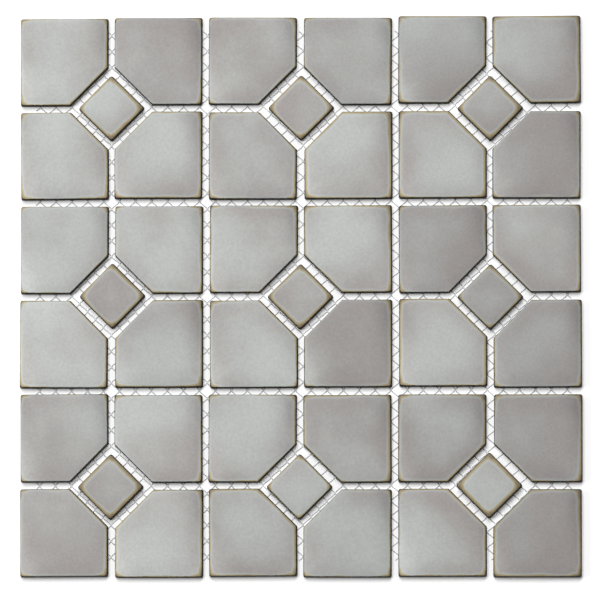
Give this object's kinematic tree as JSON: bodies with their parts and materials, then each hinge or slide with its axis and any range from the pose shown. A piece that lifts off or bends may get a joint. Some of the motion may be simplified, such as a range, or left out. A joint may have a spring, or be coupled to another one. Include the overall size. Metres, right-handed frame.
{
  "type": "mosaic tile sheet",
  "caption": "Square sheet of glazed mosaic tiles, clipped squares set round small diamond dots, held at an even joint by a thin backing net.",
  "frame": {"origin": "underside of the backing net, at the middle of the sheet", "axes": "+Z out of the glazed faces, +X along the rows of tiles, +Y from the last row to the first"},
  "size_m": [0.3033, 0.3033, 0.0064],
  "materials": {
    "glazed_porcelain": "satin mottled grey glaze",
    "fibreglass_net": "resin-coated knitted fibreglass, off-white"
  },
  "bodies": {
    "root": {"square_tile_r1_c1": "glazed_porcelain", "square_tile_r1_c2": "glazed_porcelain", "square_tile_r1_c3": "glazed_porcelain", "square_tile_r1_c4": "glazed_porcelain", "square_tile_r1_c5": "glazed_porcelain", "square_tile_r1_c6": "glazed_porcelain", "square_tile_r2_c1": "glazed_porcelain", "square_tile_r2_c2": "glazed_porcelain", "square_tile_r2_c3": "glazed_porcelain", "square_tile_r2_c4": "glazed_porcelain", "square_tile_r2_c5": "glazed_porcelain", "square_tile_r2_c6": "glazed_porcelain", "square_tile_r3_c1": "glazed_porcelain", "square_tile_r3_c2": "glazed_porcelain", "square_tile_r3_c3": "glazed_porcelain", "square_tile_r3_c4": "glazed_porcelain", "square_tile_r3_c5": "glazed_porcelain", "square_tile_r3_c6": "glazed_porcelain", "square_tile_r4_c1": "glazed_porcelain", "square_tile_r4_c2": "glazed_porcelain", "square_tile_r4_c3": "glazed_porcelain", "square_tile_r4_c4": "glazed_porcelain", "square_tile_r4_c5": "glazed_porcelain", "square_tile_r4_c6": "glazed_porcelain", "square_tile_r5_c1": "glazed_porcelain", "square_tile_r5_c2": "glazed_porcelain", "square_tile_r5_c3": "glazed_porcelain", "square_tile_r5_c4": "glazed_porcelain", "square_tile_r5_c5": "glazed_porcelain", "square_tile_r5_c6": "glazed_porcelain", "square_tile_r6_c1": "glazed_porcelain", "square_tile_r6_c2": "glazed_porcelain", "square_tile_r6_c3": "glazed_porcelain", "square_tile_r6_c4": "glazed_porcelain", "square_tile_r6_c5": "glazed_porcelain", "square_tile_r6_c6": "glazed_porcelain", "dot_tile_r1_c1": "glazed_porcelain", "dot_tile_r1_c2": "glazed_porcelain", "dot_tile_r1_c3": "glazed_porcelain", "dot_tile_r2_c1": "glazed_porcelain", "dot_tile_r2_c2": "glazed_porcelain", "dot_tile_r2_c3": "glazed_porcelain", "dot_tile_r3_c1": "glazed_porcelain", "dot_tile_r3_c2": "glazed_porcelain", "dot_tile_r3_c3": "glazed_porcelain", "net_r1_c1": "fibreglass_net", "net_r1_c2": "fibreglass_net", "net_r1_c3": "fibreglass_net", "net_r2_c1": "fibreglass_net", "net_r2_c2": "fibreglass_net", "net_r2_c3": "fibreglass_net", "net_r3_c1": "fibreglass_net", "net_r3_c2": "fibreglass_net", "net_r3_c3": "fibreglass_net"}
  },
  "joints": []
}
